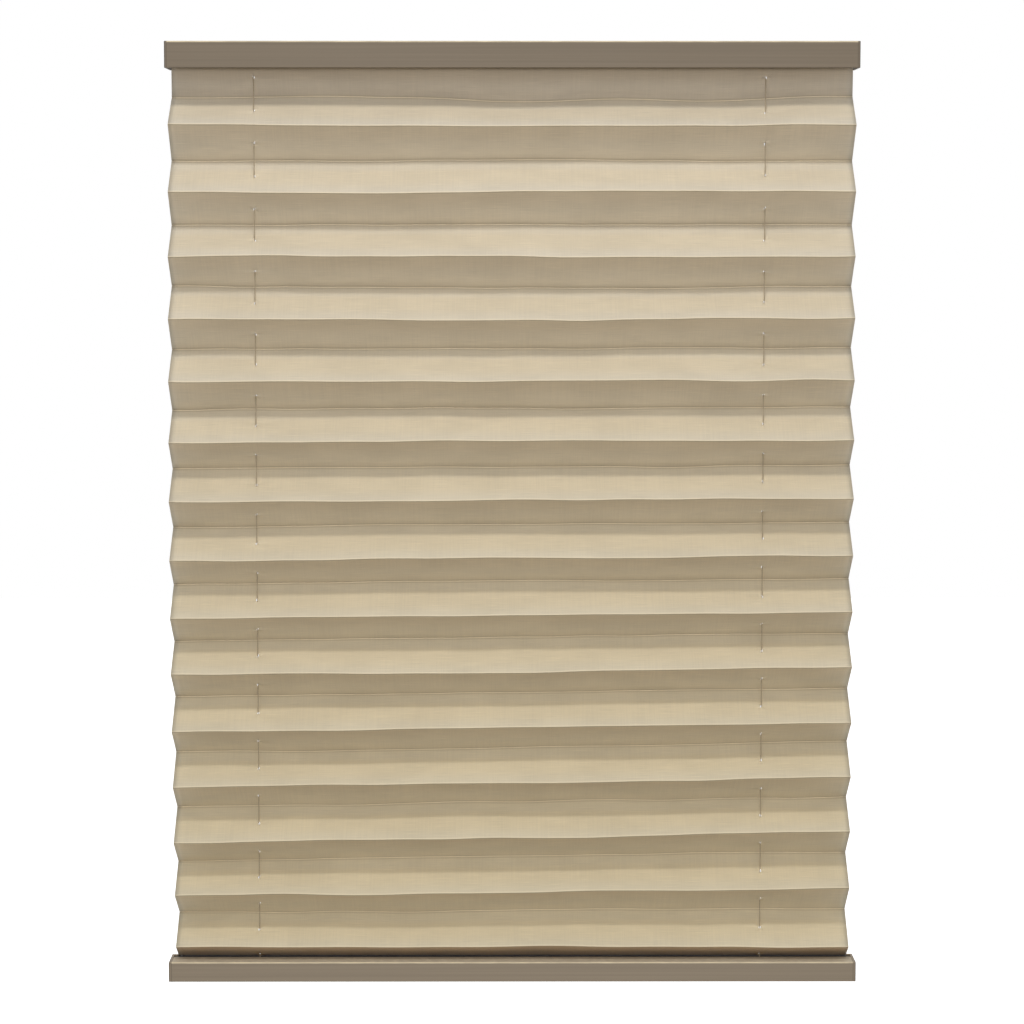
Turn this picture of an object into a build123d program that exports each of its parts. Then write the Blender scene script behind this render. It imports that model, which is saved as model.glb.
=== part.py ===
from build123d import *
import os
from math import acos, cos, degrees, pi, sin, sqrt

# Cordless pleated blind, hung by its headrail and let down to its full drop.
# Millimetres.  +X runs to the right along the headrail, +Y goes back to the window and
# +Z is up.  The origin is the middle of the headrail's top face.

# Overall sizes
overall_drop = 965.0
overall_width = 711.0
headrail_shorter_by = 9.0

# Headrail: an extruded channel, open below, with lips that hold the fabric's strip and
# ribs above them that carry the lifting mechanism
headrail_depth = 54.0
headrail_height = 27.0
headrail_wall = 1.3
headrail_lip = 4.0
rib_reach = 3.0
rib_thickness = 1.2
rail_corner = 0.9

# Bottom rail: a closed box section, most of it in front of the cords, with a slot near the
# back of its top for the fabric and the cords
bottom_rail_depth = 38.3
bottom_rail_back_y = 11.3
bottom_rail_height = 20.6
bottom_rail_wall = 1.3
slot_front_y = -3.0
slot_back_y = 8.5

# End caps: a plate over the rail's end and a hollow plug inside it
headrail_cap_thickness = 2.0
bottom_cap_thickness = 2.5
cap_edge_round = 0.5
plug_length = 12.0
plug_wall = 1.6
plug_clearance = 0.15

# Strips that the fabric is glued to
strip_thickness = 1.8
strip_clearance = 0.1
strip_side_clearance = 0.3
strip_end_clearance = 0.5

# Pleated fabric: flat panels of one length, folded to the front and to the back.  The
# weight below opens the upper pleats a little further than the lower ones.
fabric_side_gap = 2.5
fabric_thickness = 0.5
pleat_panel = 50.8
pleat_pitch = 61.0
first_fold_drop = 29.0
last_fold_rise = 14.7
top_opening = 5.6
top_flap_start_y = -18.8
top_flap_fold_y = -9.5
bottom_flap_fold_y = 7.5
bottom_flap_end_y = -2.0
fabric_hole_radius = 1.7

# Lift cords
left_cord_inset = 87.9
right_cord_inset = 93.2
cord_diameter = 0.9
cord_clearance = 0.4
cord_bend_radius = 5.0
knot_radius = 1.4
cord_stop_radius = 3.0
cord_stop_height = 5.0
cord_stop_bore_clearance = 0.1
spool_wrap_degrees = 200.0

# Spring motor: four drums in line, geared together, in a housing on the headrail's ribs
gear_module = 1.0
gear_addendum = 0.8
gear_root_depth = 1.25
gear_thickness = 3.2
tooth_pitch_share = 0.43
tooth_tip_share = 0.25
tooth_root_share = 0.60
spool_radius = 9.5
spool_play = 0.05
storage_hub_radius = 7.0
output_hub_radius = 8.5
flange_gap = 2.0
flange_thickness = 1.2
drum_play = 0.3
axle_radius = 1.5
axle_clearance = 0.05
housing_wall = 1.2
housing_clearance = 0.3
housing_slot_width = 2.4
spring_roll_thickness = 3.0
spring_thickness = 0.3
spring_edge_gap = 1.0
spring_wrap_degrees = 190.0

# Cord guides
guide_length = 20.0
guide_width = 16.0
guide_foot_thickness = 2.0
guide_cover = 5.0

# Screw holes in the headrail's top wall
screw_hole_radius = 2.2
screw_hole_inset = 41.0


# Levels and lengths that follow from the sizes above
bottom_rail_length = overall_width
headrail_length = overall_width - headrail_shorter_by
screw_hole_spacing = headrail_length - 2 * screw_hole_inset
left_cord_x = -headrail_length / 2 + left_cord_inset
right_cord_x = headrail_length / 2 - right_cord_inset
headrail_body_length = headrail_length - 2 * headrail_cap_thickness
bottom_rail_body_length = bottom_rail_length - 2 * bottom_cap_thickness
headrail_inner_half = headrail_depth / 2 - headrail_wall
bottom_rail_inner_half = bottom_rail_depth / 2 - bottom_rail_wall
bottom_rail_middle_y = bottom_rail_back_y - bottom_rail_depth / 2
lip_top = -headrail_height + headrail_wall
top_strip_bottom = lip_top + strip_clearance
top_strip_top = top_strip_bottom + strip_thickness
rib_bottom = top_strip_top + strip_clearance
rib_top = rib_bottom + rib_thickness
bottom_rail_bottom = -overall_drop
bottom_rail_top = bottom_rail_bottom + bottom_rail_height
bottom_strip_top = bottom_rail_top - bottom_rail_wall - strip_clearance
bottom_strip_bottom = bottom_strip_top - strip_thickness
fabric_width = headrail_length - 2 * fabric_side_gap
cord_stop_top = bottom_strip_bottom - strip_clearance
cord_stop_bottom = cord_stop_top - cord_stop_height

housing_floor_bottom = rib_top + strip_clearance
housing_floor_top = housing_floor_bottom + housing_wall
housing_cover_top = -headrail_wall - 2 * strip_clearance
housing_wall_top = housing_cover_top - housing_wall
gear_bottom = housing_floor_top + drum_play
gear_top = gear_bottom + gear_thickness
drum_top = housing_wall_top - drum_play
flange_bottom = drum_top - flange_thickness
cord_height = (gear_top + flange_bottom) / 2
guide_top = cord_height + guide_cover

# The drums stand so far back that the cords leave the spools in the rail's middle plane,
# and the gears have as many teeth as the room behind them allows
drum_line_y = spool_radius
housing_back_limit = headrail_inner_half - strip_side_clearance
gear_tip_limit = housing_back_limit - drum_line_y - housing_wall - housing_clearance
gear_teeth = 2 * int((gear_tip_limit - gear_addendum) / gear_module)
gear_pitch_radius = gear_teeth * gear_module / 2
gear_tip_radius = gear_pitch_radius + gear_addendum
drum_spacing = 2 * gear_pitch_radius
flange_radius = (drum_spacing - flange_gap) / 2
drum_places = [(step - 1.5) * drum_spacing for step in range(4)]
left_spool_x, output_drum_x, storage_drum_x, right_spool_x = drum_places
housing_half_length = right_spool_x + gear_tip_radius + housing_clearance + housing_wall
housing_front_y = drum_line_y - gear_tip_radius - housing_clearance - housing_wall
housing_back_y = drum_line_y + gear_tip_radius + housing_clearance + housing_wall


def box_between(low, high):
    """A box from its lowest corner to its highest."""
    size = [b - a for a, b in zip(low, high)]
    middle = [(a + b) / 2 for a, b in zip(low, high)]
    return Pos(*middle) * Box(*size)


def cylinder_between(x, y, low_z, high_z, radius):
    """An upright cylinder at x, y between two levels."""
    return Pos(x, y, (low_z + high_z) / 2) * Cylinder(radius, high_z - low_z)


def along_x(face, length):
    """A section drawn with the rail's depth and height, extruded evenly both ways along X."""
    on_end = Plane(origin=(0, 0, 0), x_dir=(0, 1, 0), z_dir=(1, 0, 0))
    return extrude(on_end * face, length / 2, both=True)


def rectangle(low_y, low_z, high_y, high_z):
    """A rectangle in the rail's section."""
    middle = Pos((low_y + high_y) / 2, (low_z + high_z) / 2)
    return middle * Rectangle(high_y - low_y, high_z - low_z)


def rounded_rectangle(low_y, low_z, high_y, high_z, radius):
    """A rectangle with round corners in the rail's section."""
    middle = Pos((low_y + high_y) / 2, (low_z + high_z) / 2)
    return middle * RectangleRounded(high_y - low_y, high_z - low_z, radius)


def make_headrail():
    half = headrail_depth / 2
    inner = headrail_inner_half
    section = rounded_rectangle(-half, -headrail_height, half, 0, rail_corner)
    section -= rectangle(-inner, lip_top, inner, -headrail_wall)
    mouth = inner - headrail_lip
    section -= rectangle(-mouth, -headrail_height - 1, mouth, lip_top + 1)
    for side in (-1, 1):
        rib_edges = sorted((side * inner, side * (inner - rib_reach)))
        section += rectangle(rib_edges[0], rib_bottom, rib_edges[1], rib_top)
    rail = along_x(section, headrail_body_length)
    for side in (-1, 1):
        hole_x = side * screw_hole_spacing / 2
        rail -= cylinder_between(hole_x, 0, -headrail_wall - 1, 1, screw_hole_radius)
    return rail


def make_bottom_rail():
    front_y = bottom_rail_back_y - bottom_rail_depth
    section = rounded_rectangle(front_y, bottom_rail_bottom, bottom_rail_back_y, bottom_rail_top, rail_corner)
    hollow_front = front_y + bottom_rail_wall
    hollow_back = bottom_rail_back_y - bottom_rail_wall
    hollow_bottom = bottom_rail_bottom + bottom_rail_wall
    section -= rectangle(hollow_front, hollow_bottom, hollow_back, bottom_rail_top - bottom_rail_wall)
    slot_bottom = bottom_rail_top - bottom_rail_wall - 1
    section -= rectangle(slot_front_y, slot_bottom, slot_back_y, bottom_rail_top + 1)
    return along_x(section, bottom_rail_body_length)


def make_end_cap(side, rail_half, thickness, half_depth, low_z, high_z, plug_half, plug_low, plug_high):
    """A plate with rounded outer edges, and a hollow plug that goes into the rail."""
    outer_x = side * (rail_half + thickness)
    inner_x = side * rail_half
    plug_end_x = side * (rail_half - plug_length)
    plate_x = sorted((inner_x, outer_x))
    plate = box_between((plate_x[0], -half_depth, low_z), (plate_x[1], half_depth, high_z))
    plate = fillet(plate.edges().filter_by(Axis.X), rail_corner)
    outer_face = plate.faces().sort_by(Axis.X)[-1 if side > 0 else 0]
    plate = fillet(outer_face.edges(), cap_edge_round)
    plug_x = sorted((inner_x, plug_end_x))
    plug = box_between((plug_x[0], -plug_half, plug_low), (plug_x[1], plug_half, plug_high))
    plug -= box_between(
        (plug_x[0], -plug_half + plug_wall, plug_low + plug_wall),
        (plug_x[1], plug_half - plug_wall, plug_high - plug_wall),
    )
    return plate + plug


def make_headrail_end_cap(side):
    return make_end_cap(
        side,
        headrail_body_length / 2,
        headrail_cap_thickness,
        headrail_depth / 2,
        -headrail_height,
        0,
        headrail_inner_half - plug_clearance,
        rib_top + plug_clearance,
        -headrail_wall - plug_clearance,
    )


def make_bottom_rail_end_cap(side):
    return Pos(0, bottom_rail_middle_y, 0) * make_end_cap(
        side,
        bottom_rail_body_length / 2,
        bottom_cap_thickness,
        bottom_rail_depth / 2,
        bottom_rail_bottom,
        bottom_rail_top,
        bottom_rail_inner_half - plug_clearance,
        bottom_rail_bottom + bottom_rail_wall + plug_clearance,
        bottom_strip_bottom - plug_clearance,
    )


def make_strip(low_z, high_z, middle_y, half_width, rail_body_length):
    """A flat strip with a hole for each cord."""
    half_length = rail_body_length / 2 - strip_end_clearance
    front_y = middle_y - half_width
    back_y = middle_y + half_width
    strip = box_between((-half_length, front_y, low_z), (half_length, back_y, high_z))
    for cord_x in (left_cord_x, right_cord_x):
        strip -= cylinder_between(cord_x, 0, low_z - 1, high_z + 1, fabric_hole_radius)
    return strip


def fold_line():
    """The fabric's middle line, seen from the end, from its top flap to its bottom flap.

    Each panel drops by an even amount plus a share that fades with the square of the
    way down, and reaches as far back or forward as its own length then allows.
    """
    fabric_drop = bottom_rail_top + headrail_height
    pleat_count = round(-fabric_drop / pleat_pitch)
    panels = 2 * pleat_count - 1
    first_fold_z = -headrail_height - first_fold_drop
    last_fold_z = bottom_rail_top + last_fold_rise
    fades = [(1 - step / panels) ** 2 for step in range(panels)]
    even_drop = (first_fold_z - last_fold_z - top_opening * sum(fades)) / panels
    drops = [even_drop + top_opening * fade for fade in fades]
    half_glue = fabric_thickness / 2
    line = [(top_flap_start_y, top_strip_bottom - half_glue)]
    line.append((top_flap_fold_y, top_strip_bottom - half_glue))
    fold_z = first_fold_z
    for step in range(panels + 1):
        near_drop = (drops[max(step - 1, 0)] + drops[min(step, panels - 1)]) / 2
        half_reach = sqrt(pleat_panel**2 - near_drop**2) / 2
        line.append((half_reach if step % 2 == 0 else -half_reach, fold_z))
        if step < panels:
            fold_z -= drops[step]
    line.append((bottom_flap_fold_y, bottom_strip_top + half_glue))
    line.append((bottom_flap_end_y, bottom_strip_top + half_glue))
    return line


def offset_line(line, distance):
    """The line moved sideways by a distance, with sharp corners."""
    points = [Vector(y, z) for y, z in line]
    headings = [(after - before).normalized() for before, after in zip(points, points[1:])]
    sides = [Vector(-heading.Y, heading.X) for heading in headings]
    moved = [points[0] + sides[0] * distance]
    for point, before, after in zip(points[1:], sides, sides[1:]):
        moved.append(point + (before + after) * (distance / (1 + before.dot(after))))
    moved.append(points[-1] + sides[-1] * distance)
    return moved


def make_fabric():
    line = fold_line()
    one_side = offset_line(line, fabric_thickness / 2)
    other_side = offset_line(line, -fabric_thickness / 2)
    section = make_face(Polyline(*one_side, *reversed(other_side), close=True))
    fabric = along_x(section, fabric_width)
    for cord_x in (left_cord_x, right_cord_x):
        fabric -= cylinder_between(cord_x, 0, bottom_strip_top, top_strip_bottom, fabric_hole_radius)
    return fabric


def cord_path(cord_x, spool_x, bottom_z):
    """Round the spool, along the headrail, over the guide's bend and straight down."""
    away = 1 if cord_x > spool_x else -1
    wrap = spool_wrap_degrees * pi / 180
    centre = Vector(spool_x, drum_line_y, cord_height)

    def on_spool(turn):
        return centre + Vector(-away * sin(turn), -cos(turn), 0) * spool_radius

    bend_start = Vector(cord_x - away * cord_bend_radius, 0, cord_height)
    bend_middle = Vector(
        cord_x - away * cord_bend_radius * (1 - sin(pi / 4)),
        0,
        cord_height - cord_bend_radius * (1 - cos(pi / 4)),
    )
    bend_end = Vector(cord_x, 0, cord_height - cord_bend_radius)
    return Wire(
        [
            Edge.make_three_point_arc(on_spool(wrap), on_spool(wrap / 2), on_spool(0)),
            Edge.make_line(on_spool(0), bend_start),
            Edge.make_three_point_arc(bend_start, bend_middle, bend_end),
            Edge.make_line(bend_end, Vector(cord_x, 0, bottom_z)),
        ]
    )


def tube_along(path, radius):
    """A round rod along a path."""
    start = Plane(origin=path @ 0, z_dir=path % 0)
    return sweep(start * Circle(radius), path=path)


def make_lift_cord(cord_x, spool_x):
    knot_z = cord_stop_bottom - knot_radius
    cord = tube_along(cord_path(cord_x, spool_x, knot_z), cord_diameter / 2)
    return cord + Pos(cord_x, 0, knot_z) * Sphere(knot_radius)


def make_cord_guide(cord_x, spool_x):
    half = guide_length / 2
    foot_half = headrail_inner_half - strip_side_clearance
    foot_top = housing_floor_bottom + guide_foot_thickness
    foot = box_between((cord_x - half, -foot_half, housing_floor_bottom), (cord_x + half, foot_half, foot_top))
    block = box_between((cord_x - half, -guide_width / 2, foot_top), (cord_x + half, guide_width / 2, guide_top))
    guide = foot + fillet(block.edges().filter_by(Axis.Z), 2 * cord_diameter)
    passage = tube_along(cord_path(cord_x, spool_x, bottom_strip_bottom), cord_diameter / 2 + cord_clearance)
    return guide - passage


def make_cord_stop(cord_x):
    stop = cylinder_between(cord_x, 0, cord_stop_bottom, cord_stop_top, cord_stop_radius)
    stop = fillet(stop.edges(), cord_diameter)
    bore = cord_diameter / 2 + cord_stop_bore_clearance
    return stop - cylinder_between(cord_x, 0, cord_stop_bottom - 1, cord_stop_top + 1, bore)


def make_gear(x, phase):
    """A spur gear with straight-sided teeth, turned by a phase in tooth pitches."""
    pitch = 2 * pi / gear_teeth
    root = gear_pitch_radius - gear_root_depth * gear_module
    outline = []
    for tooth in range(gear_teeth):
        middle = (tooth + phase) * pitch
        for radius, share in (
            (root, -tooth_root_share),
            (gear_pitch_radius, -tooth_pitch_share),
            (gear_tip_radius, -tooth_tip_share),
            (gear_tip_radius, tooth_tip_share),
            (gear_pitch_radius, tooth_pitch_share),
            (root, tooth_root_share),
        ):
            angle = middle + share * pitch / 2
            outline.append((x + radius * cos(angle), drum_line_y + radius * sin(angle)))
    section = make_face(Polyline(*outline, close=True))
    return extrude(Pos(0, 0, gear_bottom) * section, gear_thickness)


def make_drum(x, hub_radius, phase):
    """A geared drum: the gear below, the hub and a flange above, bored for its axle."""
    drum = make_gear(x, phase)
    drum += cylinder_between(x, drum_line_y, gear_top, drum_top, hub_radius)
    drum += cylinder_between(x, drum_line_y, flange_bottom, drum_top, flange_radius)
    bore = axle_radius + axle_clearance
    return drum - cylinder_between(x, drum_line_y, gear_bottom - 1, drum_top + 1, bore)


def make_drum_axles():
    pins = [
        cylinder_between(x, drum_line_y, housing_floor_bottom, housing_cover_top, axle_radius)
        for x in drum_places
    ]
    return Compound(children=pins)


def cut_axle_holes(plate, low_z, high_z):
    for x in drum_places:
        plate -= cylinder_between(x, drum_line_y, low_z - 1, high_z + 1, axle_radius + axle_clearance)
    return plate


def make_motor_base():
    """A floor across the headrail's ribs, with walls round the drums and a slot for each cord."""
    length = housing_half_length
    floor_half = headrail_inner_half - strip_side_clearance
    base = box_between((-length, -floor_half, housing_floor_bottom), (length, floor_half, housing_floor_top))
    base += box_between((-length, housing_front_y, housing_floor_top), (length, housing_back_y, housing_wall_top))
    base -= box_between(
        (-length + housing_wall, housing_front_y + housing_wall, housing_floor_top),
        (length - housing_wall, housing_back_y - housing_wall, housing_wall_top),
    )
    half_slot = housing_slot_width / 2
    base -= box_between((-length - 1, -half_slot, gear_top), (length + 1, half_slot, housing_wall_top))
    return cut_axle_holes(base, housing_floor_bottom, housing_floor_top)


def make_motor_cover():
    cover = box_between(
        (-housing_half_length, housing_front_y, housing_wall_top),
        (housing_half_length, housing_back_y, housing_cover_top),
    )
    return cut_axle_holes(cover, housing_wall_top, housing_cover_top)


def make_spring_band():
    """A flat spring: its roll on the storage drum and its end on the output drum.

    It crosses from one side of the first drum to the other side of the second, along the
    line that touches both.
    """
    roll_inner = storage_hub_radius + spool_play
    roll_outer = roll_inner + spring_roll_thickness
    wrap_inner = output_hub_radius + spool_play
    wrap_outer = wrap_inner + spring_thickness
    lean = acos((roll_outer + wrap_inner) / drum_spacing)
    normal = Vector(-cos(lean), sin(lean))
    storage = Vector(storage_drum_x, drum_line_y)
    output = Vector(output_drum_x, drum_line_y)
    roll = Pos(storage.X, storage.Y) * (Circle(roll_outer) - Circle(roll_inner))
    corners = [
        storage + normal * roll_outer,
        output - normal * wrap_inner,
        output - normal * wrap_outer,
        storage + normal * (roll_outer - spring_thickness),
    ]
    crossing = make_face(Polyline(*corners, close=True))
    wrap_start = degrees(-lean) - spring_wrap_degrees
    middle_radius = (wrap_inner + wrap_outer) / 2
    wrap_line = CenterArc((output.X, output.Y), middle_radius, wrap_start, spring_wrap_degrees)
    section = roll + crossing + trace(wrap_line, spring_thickness)
    low_z = gear_top + spring_edge_gap
    return extrude(Pos(0, 0, low_z) * section, flange_bottom - spring_edge_gap - low_z)


def write(shape, node):
    export_step(shape, f"parts/{node}.step")
    print(f"{node}: {shape.volume:.0f} mm3 in {len(shape.solids())}")


os.makedirs("parts", exist_ok=True)

write(make_headrail(), "headrail")
write(make_headrail_end_cap(-1), "headrail_end_cap_left")
write(make_headrail_end_cap(1), "headrail_end_cap_right")
top_strip_half_width = headrail_inner_half - strip_side_clearance
write(
    make_strip(top_strip_bottom, top_strip_top, 0, top_strip_half_width, headrail_body_length),
    "top_fabric_strip",
)
write(make_fabric(), "pleated_fabric")
bottom_strip_half_width = bottom_rail_inner_half - strip_side_clearance
write(
    make_strip(
        bottom_strip_bottom,
        bottom_strip_top,
        bottom_rail_middle_y,
        bottom_strip_half_width,
        bottom_rail_body_length,
    ),
    "bottom_fabric_strip",
)
write(make_bottom_rail(), "bottom_rail")
write(make_bottom_rail_end_cap(-1), "bottom_rail_end_cap_left")
write(make_bottom_rail_end_cap(1), "bottom_rail_end_cap_right")
write(make_motor_base(), "motor_base")
write(make_motor_cover(), "motor_cover")
write(make_drum_axles(), "drum_axles")
write(make_drum(left_spool_x, spool_radius - cord_diameter / 2 - spool_play, 0), "cord_spool_left")
write(make_drum(output_drum_x, output_hub_radius, 0.5), "output_drum")
write(make_drum(storage_drum_x, storage_hub_radius, 0), "storage_drum")
write(make_drum(right_spool_x, spool_radius - cord_diameter / 2 - spool_play, 0.5), "cord_spool_right")
write(make_spring_band(), "spring_band")
for name, cord_x, spool_x in (("left", left_cord_x, left_spool_x), ("right", right_cord_x, right_spool_x)):
    write(make_cord_guide(cord_x, spool_x), f"cord_guide_{name}")
    write(make_lift_cord(cord_x, spool_x), f"lift_cord_{name}")
    write(make_cord_stop(cord_x), f"cord_stop_{name}")
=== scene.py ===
import math

import bmesh
import bpy
import numpy as np
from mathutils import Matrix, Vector


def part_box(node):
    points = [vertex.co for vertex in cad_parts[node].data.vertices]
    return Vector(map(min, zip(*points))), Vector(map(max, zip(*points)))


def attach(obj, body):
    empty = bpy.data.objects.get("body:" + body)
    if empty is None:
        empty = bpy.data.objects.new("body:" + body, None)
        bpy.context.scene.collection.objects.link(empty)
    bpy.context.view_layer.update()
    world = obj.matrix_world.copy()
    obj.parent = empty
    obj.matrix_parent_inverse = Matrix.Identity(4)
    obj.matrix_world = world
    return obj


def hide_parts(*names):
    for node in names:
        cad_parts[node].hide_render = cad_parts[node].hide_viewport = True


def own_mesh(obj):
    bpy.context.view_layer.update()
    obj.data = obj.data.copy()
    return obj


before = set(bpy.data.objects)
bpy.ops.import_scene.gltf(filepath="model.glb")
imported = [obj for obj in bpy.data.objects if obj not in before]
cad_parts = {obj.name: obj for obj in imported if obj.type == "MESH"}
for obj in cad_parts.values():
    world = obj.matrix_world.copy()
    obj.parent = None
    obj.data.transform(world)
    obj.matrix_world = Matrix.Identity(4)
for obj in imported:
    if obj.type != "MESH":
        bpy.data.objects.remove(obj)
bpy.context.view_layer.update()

bl_info = {
    "name": "Pleated blind",
    "version": (1, 0, 0),
    "blender": (4, 5, 0),
    "location": "View3D > Sidebar > Blind",
    "description": "Hangs the cloth, threads the lift cords and finishes the rails of a pleated blind",
    "category": "Object",
}

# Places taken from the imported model, in metres: X along the headrail, Y back to the
# window, Z up, and the origin in the middle of the headrail's top face.
HEADRAIL_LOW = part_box("headrail")[0]
BOTTOM_RAIL_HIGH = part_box("bottom_rail")[1]
TOP_STRIP_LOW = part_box("top_fabric_strip")[0]
BOTTOM_STRIP_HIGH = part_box("bottom_fabric_strip")[1]
CLOTH_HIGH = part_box("pleated_fabric")[1]
STOPS = [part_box(f"cord_stop_{side}") for side in ("left", "right")]
CORD_X = tuple((low.x + high.x) / 2 for low, high in STOPS)
CORD_FOOT = STOPS[0][0].z
CORD_DIAMETER = 0.0009
CORD_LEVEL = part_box("lift_cord_left")[1].z - CORD_DIAMETER / 2


# ---- settings


class ClothSettings(bpy.types.PropertyGroup):
    """Sizes and colour of the pleated cloth."""

    panel: bpy.props.FloatProperty(
        name="Panel", description="Length of cloth between two folds", default=0.0508, unit="LENGTH"
    )
    thickness: bpy.props.FloatProperty(
        name="Thickness", description="Thickness of the cloth", default=0.00035, unit="LENGTH"
    )
    crease: bpy.props.FloatProperty(
        name="Crease", description="Cloth beside a fold taken up by its bend", default=0.0008, unit="LENGTH"
    )
    lean: bpy.props.FloatProperty(
        name="Lean", description="Rise of the lower folds to the right", default=0.020, unit="LENGTH"
    )
    front_wave: bpy.props.FloatProperty(
        name="Front waves", description="Height of the waves in a front fold", default=0.0008, unit="LENGTH"
    )
    rear_wave: bpy.props.FloatProperty(
        name="Rear waves", description="Height of the waves in a rear fold", default=0.0008, unit="LENGTH"
    )
    left_bulge: bpy.props.FloatProperty(
        name="Left bulge", description="Bulge of the left edge half way", default=0.0029, unit="LENGTH"
    )
    right_bulge: bpy.props.FloatProperty(
        name="Right bulge", description="Bulge of the right edge half way", default=0.0008, unit="LENGTH"
    )
    hole_width: bpy.props.FloatProperty(
        name="Hole width", description="Width of the holes for the cords", default=0.0020, unit="LENGTH"
    )
    hole_length: bpy.props.FloatProperty(
        name="Hole length", description="Length of the holes along a panel", default=0.0042, unit="LENGTH"
    )
    colour: bpy.props.FloatVectorProperty(
        name="Colour", description="Colour of the cloth", default=(0.669, 0.583, 0.430), subtype="COLOR"
    )
    thread: bpy.props.FloatProperty(
        name="Thread", description="Distance between threads", default=0.00046, unit="LENGTH"
    )


class CordSettings(bpy.types.PropertyGroup):
    """Sizes and colour of the lift cords."""

    diameter: bpy.props.FloatProperty(
        name="Diameter", description="Thickness of the braided cord", default=CORD_DIAMETER, unit="LENGTH"
    )
    bend: bpy.props.FloatProperty(
        name="Bend", description="Radius of the cord over its guide", default=0.005, unit="LENGTH"
    )
    wrap: bpy.props.FloatProperty(
        name="Wrap", description="Turn round the spool", default=math.radians(200), subtype="ANGLE"
    )
    knot: bpy.props.FloatProperty(
        name="Knot", description="Radius of the knot under the cord stop", default=0.0014, unit="LENGTH"
    )
    colour: bpy.props.FloatVectorProperty(
        name="Colour", description="Colour of the cord", default=(0.40, 0.32, 0.22), subtype="COLOR"
    )


class FinishSettings(bpy.types.PropertyGroup):
    """Colours of the rails, their caps and the lifting mechanism."""

    paint: bpy.props.FloatVectorProperty(
        name="Headrail", description="Headrail's coat", default=(0.20, 0.158, 0.111), subtype="COLOR"
    )
    # The headrail's coat made lighter: a painted reflection of the bright floor in the bottom rail.
    bottom_rail_paint_with_painted_light: bpy.props.FloatVectorProperty(
        name="Bottom rail", description="Bottom rail's coat", default=(0.31, 0.25, 0.18), subtype="COLOR"
    )
    # Near black: painted shade for the slot in the bottom rail.
    strip: bpy.props.FloatVectorProperty(
        name="Strip", description="Strips in the rails", default=(0.022, 0.017, 0.012), subtype="COLOR"
    )
    housing: bpy.props.FloatVectorProperty(
        name="Housing", description="Motor's housing", default=(0.60, 0.58, 0.54), subtype="COLOR"
    )
    drum: bpy.props.FloatVectorProperty(
        name="Drum", description="Geared drums", default=(0.72, 0.71, 0.67), subtype="COLOR"
    )
    guide: bpy.props.FloatVectorProperty(
        name="Guide", description="Guides and cord stops", default=(0.48, 0.45, 0.40), subtype="COLOR"
    )
    steel: bpy.props.FloatVectorProperty(
        name="Steel", description="Pins and spring", default=(0.56, 0.56, 0.55), subtype="COLOR"
    )


class StageSettings(bpy.types.PropertyGroup):
    """Floor, light and camera."""

    floor_drop: bpy.props.FloatProperty(
        name="Floor", description="Depth of the floor below the headrail", default=2.0, unit="LENGTH"
    )
    surround: bpy.props.FloatProperty(
        name="Surround", description="Surround's light from behind", default=0.62
    )
    surround_front: bpy.props.FloatProperty(
        name="Upper front", description="Surround's light from above in front", default=0.45
    )
    surround_below: bpy.props.FloatProperty(
        name="Lower front", description="Surround's light from below in front", default=0.05
    )
    key_power: bpy.props.FloatProperty(
        name="Key light", description="High light in front", default=12.0, unit="POWER"
    )
    fill_power: bpy.props.FloatProperty(
        name="Front light", description="Wide light by the camera", default=32.0, unit="POWER"
    )
    low_power: bpy.props.FloatProperty(
        name="Low light", description="Low light in front", default=7.4, unit="POWER"
    )


# ---- meshes


def unit(vectors):
    """Vectors divided by their own lengths."""
    lengths = np.linalg.norm(vectors, axis=-1, keepdims=True)
    return vectors / np.maximum(lengths, 1e-12)


def make_piece(name, points, faces, uv, material):
    """A smooth mesh object at the origin.  uv holds one pair for each point, in metres."""
    mesh = bpy.data.meshes.new(name)
    mesh.from_pydata(points.reshape(-1, 3).tolist(), [], faces.tolist())
    corners = np.zeros(len(mesh.loops), int)
    mesh.loops.foreach_get("vertex_index", corners)
    layer = mesh.uv_layers.new(name="flat_cloth")
    layer.data.foreach_set("uv", uv.reshape(-1, 2)[corners].astype(np.float32).ravel())
    mesh.shade_smooth()
    mesh.materials.append(material)
    piece = bpy.data.objects.new(name, mesh)
    bpy.context.scene.collection.objects.link(piece)
    return piece


def grid_faces(rows, columns):
    """Cell corners of a grid whose points are numbered row by row: down, right, up, back."""
    first = np.arange((rows - 1) * columns).reshape(rows - 1, columns)[:, :-1]
    return np.stack([first, first + columns, first + columns + 1, first + 1], -1)


# ---- node groups and materials


def feed(tree, node, values):
    """Sets a node's inputs, each to a constant or to another node's output."""
    for key, value in values.items():
        if isinstance(value, bpy.types.NodeSocket):
            tree.links.new(value, node.inputs[key])
        else:
            node.inputs[key].default_value = value
    return node


def put(tree, kind, values=None, **settings):
    """A new node with its settings and inputs."""
    node = tree.nodes.new(kind)
    for name, value in settings.items():
        setattr(node, name, value)
    return feed(tree, node, values or {})


def calc(tree, operation, *values):
    """A Math node's output."""
    return put(tree, "ShaderNodeMath", dict(enumerate(values)), operation=operation).outputs[0]


def step_between(tree, value, low, high):
    """0 below low, 1 above high and a smooth change between them."""
    inputs = {"Value": value, "From Min": low, "From Max": high}
    return put(tree, "ShaderNodeMapRange", inputs, interpolation_type="SMOOTHSTEP").outputs[0]


def step_down(tree, value, low, high):
    """1 below low, 0 above high and a smooth change between them."""
    return calc(tree, "SUBTRACT", 1.0, step_between(tree, value, low, high))


def parts_of(tree, vector):
    """A vector's x, y and z."""
    return put(tree, "ShaderNodeSeparateXYZ", {0: vector}).outputs


def blend_colours(tree, share, first, second, blend_type="MIX"):
    """Two colours mixed by a share."""
    values = {0: share, 6: first, 7: second}
    return put(tree, "ShaderNodeMix", values, data_type="RGBA", blend_type=blend_type).outputs[2]


def tinted(tree, tone, tint, share=1.0):
    """A colour multiplied by a tint, as far as the share says."""
    return blend_colours(tree, share, tone, tint, "MULTIPLY")


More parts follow.
